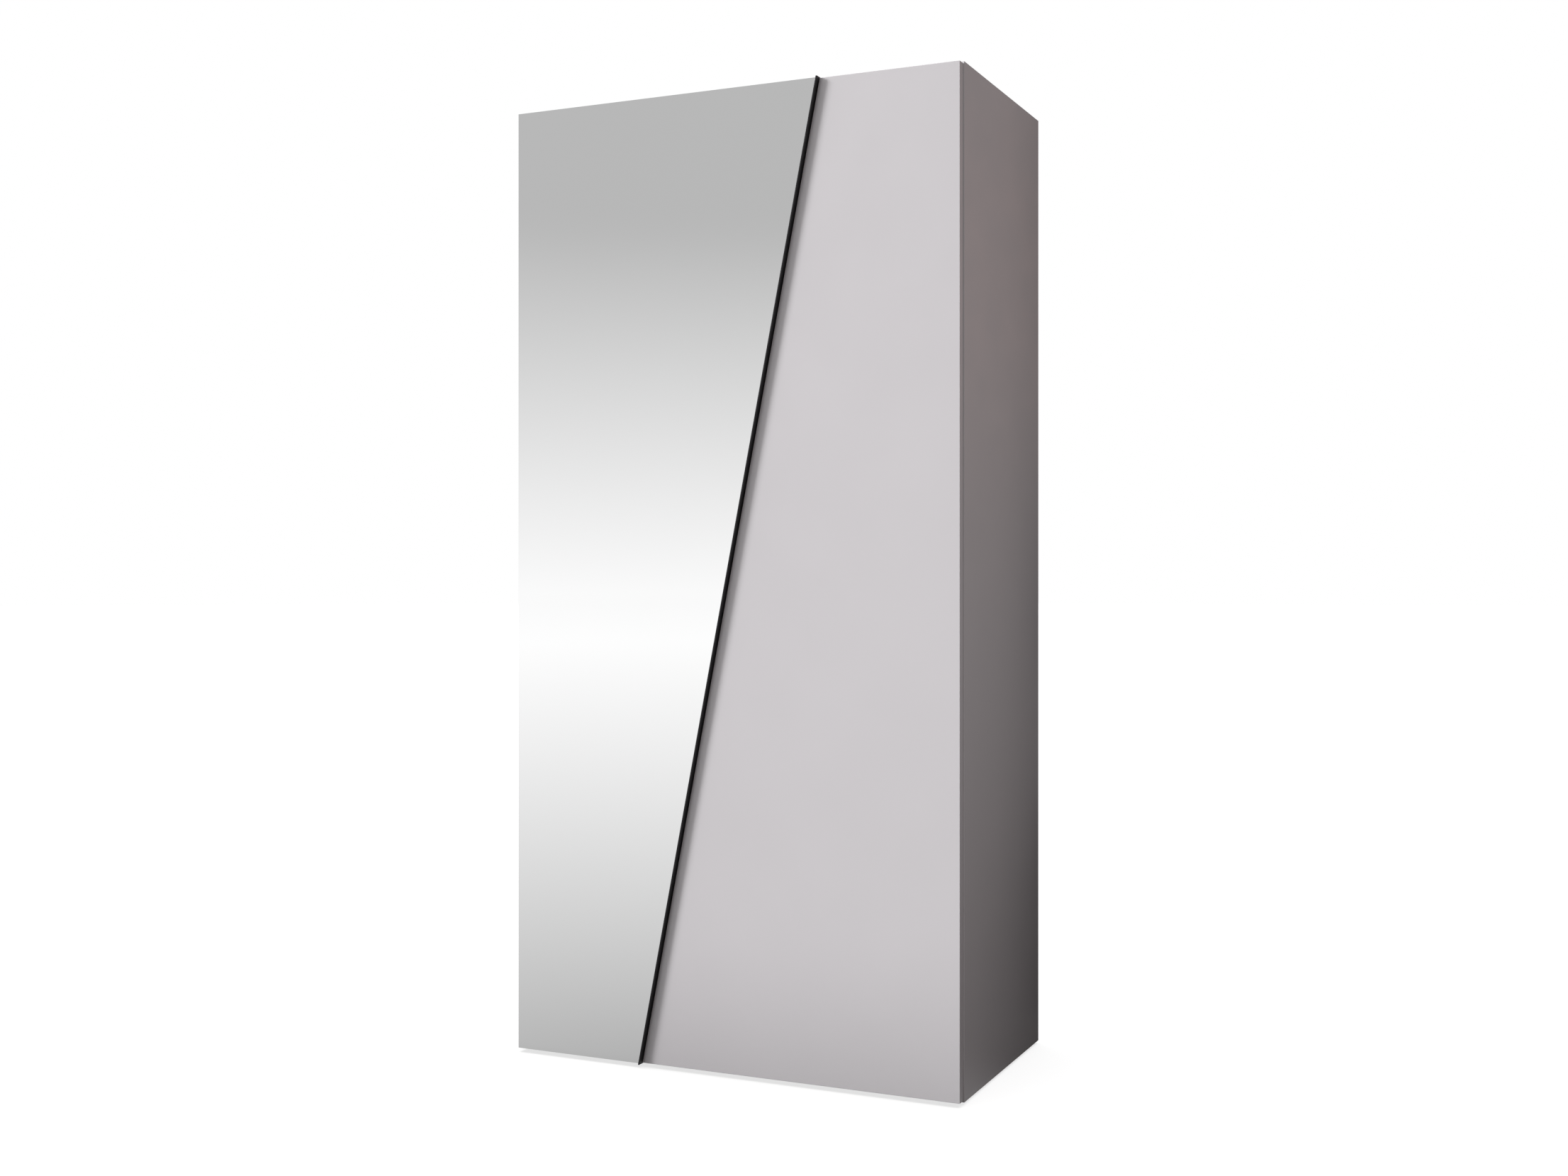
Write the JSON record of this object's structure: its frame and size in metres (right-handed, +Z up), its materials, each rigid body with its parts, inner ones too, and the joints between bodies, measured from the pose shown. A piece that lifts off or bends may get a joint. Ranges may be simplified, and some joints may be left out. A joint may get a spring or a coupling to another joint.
{
  "type": "armoire",
  "caption": "Tall armoire whose hinged doors meet on a slant: a mirrored door with a full-height black edge pull beside a plain lacquered door, over a hanging rail and a hat shelf.",
  "frame": {"origin": "on the floor, at the bottom centre of the bounding box", "axes": "+Z up, the doors face -Y, +X to the right of someone facing the doors"},
  "size_m": [1.13, 0.6088, 2.286],
  "materials": {
    "greige_lacquer": "smooth matt to satin light warm grey lacquer on board",
    "interior_melamine": "fine linen-grain melamine on board, light warm grey",
    "mirror_silver": "clear silvered float glass with polished edges",
    "black_anodised": "fine brushed black anodised aluminium",
    "satin_steel": "satin plated steel",
    "nickel_plate": "bright nickel plated pressed steel",
    "black_nylon": "matt moulded black nylon",
    "clear_silicone": "soft translucent silicone"
  },
  "bodies": {
    "carcass": {"side_panel_left": "greige_lacquer", "side_panel_right": "greige_lacquer", "top_panel": "greige_lacquer", "bottom_panel": "interior_melamine", "plinth_front": "greige_lacquer", "plinth_rear": "greige_lacquer", "back_panel": "interior_melamine", "hat_shelf": "interior_melamine", "hanging_rail": "satin_steel", "rail_socket_left": "satin_steel", "rail_socket_right": "satin_steel", "shelf_pin_left_front": "satin_steel", "shelf_pin_left_rear": "satin_steel", "shelf_pin_right_front": "satin_steel", "shelf_pin_right_rear": "satin_steel", "levelling_foot_left_front": "black_nylon", "levelling_foot_left_rear": "black_nylon", "levelling_foot_right_front": "black_nylon", "levelling_foot_right_rear": "black_nylon", "door_bumper_left_top": "clear_silicone", "door_bumper_left_bottom": "clear_silicone", "door_bumper_right_top": "clear_silicone", "door_bumper_right_bottom": "clear_silicone", "hinge_plate_left_1": "nickel_plate", "hinge_plate_left_2": "nickel_plate", "hinge_plate_left_3": "nickel_plate", "hinge_plate_left_4": "nickel_plate", "hinge_arm_left_1": "nickel_plate", "hinge_arm_left_2": "nickel_plate", "hinge_arm_left_3": "nickel_plate", "hinge_arm_left_4": "nickel_plate", "hinge_plate_right_1": "nickel_plate", "hinge_plate_right_2": "nickel_plate", "hinge_plate_right_3": "nickel_plate", "hinge_plate_right_4": "nickel_plate", "hinge_arm_right_1": "nickel_plate", "hinge_arm_right_2": "nickel_plate", "hinge_arm_right_3": "nickel_plate", "hinge_arm_right_4": "nickel_plate"},
    "left_door": {"left_door_panel": "greige_lacquer", "mirror_glass": "mirror_silver", "handle_profile": "black_anodised", "hinge_cup_left_1": "nickel_plate", "hinge_cup_left_2": "nickel_plate", "hinge_cup_left_3": "nickel_plate", "hinge_cup_left_4": "nickel_plate"},
    "right_door": {"right_door_panel": "greige_lacquer", "hinge_cup_right_1": "nickel_plate", "hinge_cup_right_2": "nickel_plate", "hinge_cup_right_3": "nickel_plate", "hinge_cup_right_4": "nickel_plate"},
    "left_hinge_links": {"hinge_link_left_1": "nickel_plate", "hinge_link_left_2": "nickel_plate", "hinge_link_left_3": "nickel_plate", "hinge_link_left_4": "nickel_plate"},
    "right_hinge_links": {"hinge_link_right_1": "nickel_plate", "hinge_link_right_2": "nickel_plate", "hinge_link_right_3": "nickel_plate", "hinge_link_right_4": "nickel_plate"}
  },
  "joints": [
    {"name": "left_door_hinge", "type": "hinge", "parent": "carcass", "child": "left_door", "pos_m": [-0.5552, -0.2811, 1.146], "axis": [0, 0, -1], "range_deg": [0, 100]},
    {"name": "right_door_hinge", "type": "hinge", "parent": "carcass", "child": "right_door", "pos_m": [0.5552, -0.2811, 1.146], "axis": [0, 0, 1], "range_deg": [0, 100]},
    {"name": "left_link_pivot", "type": "hinge", "parent": "carcass", "child": "left_hinge_links", "pos_m": [-0.53, -0.2734, 1.146], "axis": [0, 0, 1], "range_deg": [0, 35]},
    {"name": "right_link_pivot", "type": "hinge", "parent": "carcass", "child": "right_hinge_links", "pos_m": [0.53, -0.2734, 1.146], "axis": [0, 0, -1], "range_deg": [0, 35]}
  ],
  "couplings": [
    {"joint": "left_link_pivot", "follows": "left_door_hinge", "ratio": 0.348},
    {"joint": "right_link_pivot", "follows": "right_door_hinge", "ratio": 0.348}
  ]
}
